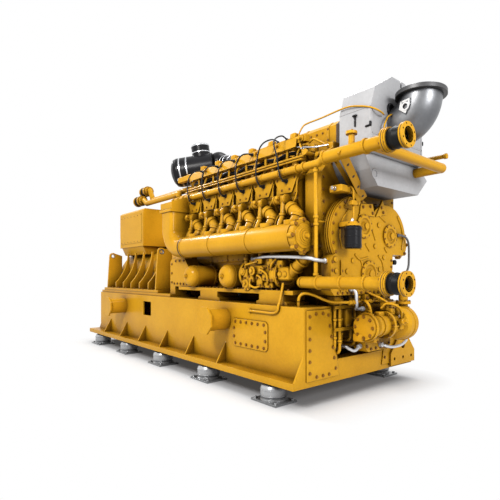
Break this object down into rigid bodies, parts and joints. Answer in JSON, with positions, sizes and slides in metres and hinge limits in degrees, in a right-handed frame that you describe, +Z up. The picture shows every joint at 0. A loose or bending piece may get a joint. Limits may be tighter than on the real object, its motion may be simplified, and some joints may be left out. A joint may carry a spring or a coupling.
{
  "type": "natural gas generator set",
  "caption": "Stationary natural gas generator set: a yellow V engine and alternator on a welded base frame with spring isolators.",
  "frame": {"origin": "centre of the bounding box on the floor, under the isolator plates", "axes": "+X along the crankshaft towards the free end with the coolant outlets, -Y the near side, +Z up"},
  "size_m": [8.13, 2.83, 4.1377],
  "materials": {
    "engine_paint": "satin",
    "isolator_paint": "satin",
    "cover_sheet": "satin",
    "exhaust_steel": "satin",
    "bellows_rubber": "matte",
    "black_paint": "gloss",
    "lead_sheath": "satin"
  },
  "bodies": {
    "root": {"girder_near": "engine_paint", "girder_far": "engine_paint", "cross_beams": "engine_paint", "base_floor": "engine_paint", "flange_near": "engine_paint", "flange_far": "engine_paint", "flange_rear": "engine_paint", "end_panels": "engine_paint", "side_covers": "engine_paint", "trunnions": "engine_paint", "isolators": "isolator_paint", "alternator_body": "engine_paint", "alternator_fins": "engine_paint", "alternator_feet": "engine_paint", "terminal_box": "engine_paint", "coupling_housing": "engine_paint", "engine_mounts": "engine_paint", "oil_pan": "engine_paint", "crankcase": "engine_paint", "heads_near": "engine_paint", "heads_far": "engine_paint", "ducts_near": "engine_paint", "ducts_far": "engine_paint", "mixture_tubes": "engine_paint", "mixture_cooler": "engine_paint", "mixture_elbows": "engine_paint", "front_housing": "engine_paint", "gear_case": "engine_paint", "gear_covers": "engine_paint", "oil_canister": "black_paint", "oil_filters": "engine_paint", "oil_cooler": "engine_paint", "water_pump": "engine_paint", "exhaust_casing": "engine_paint", "gas_rails": "engine_paint", "coolant_pipes": "engine_paint", "bellows": "bellows_rubber", "outlet_flanges": "engine_paint", "turbo_cover": "cover_sheet", "turbo_tray": "cover_sheet", "exhaust_elbow": "exhaust_steel", "air_filter": "black_paint", "front_bracket": "engine_paint", "small_pipes": "engine_paint", "ignition_leads": "lead_sheath"}
  },
  "joints": []
}
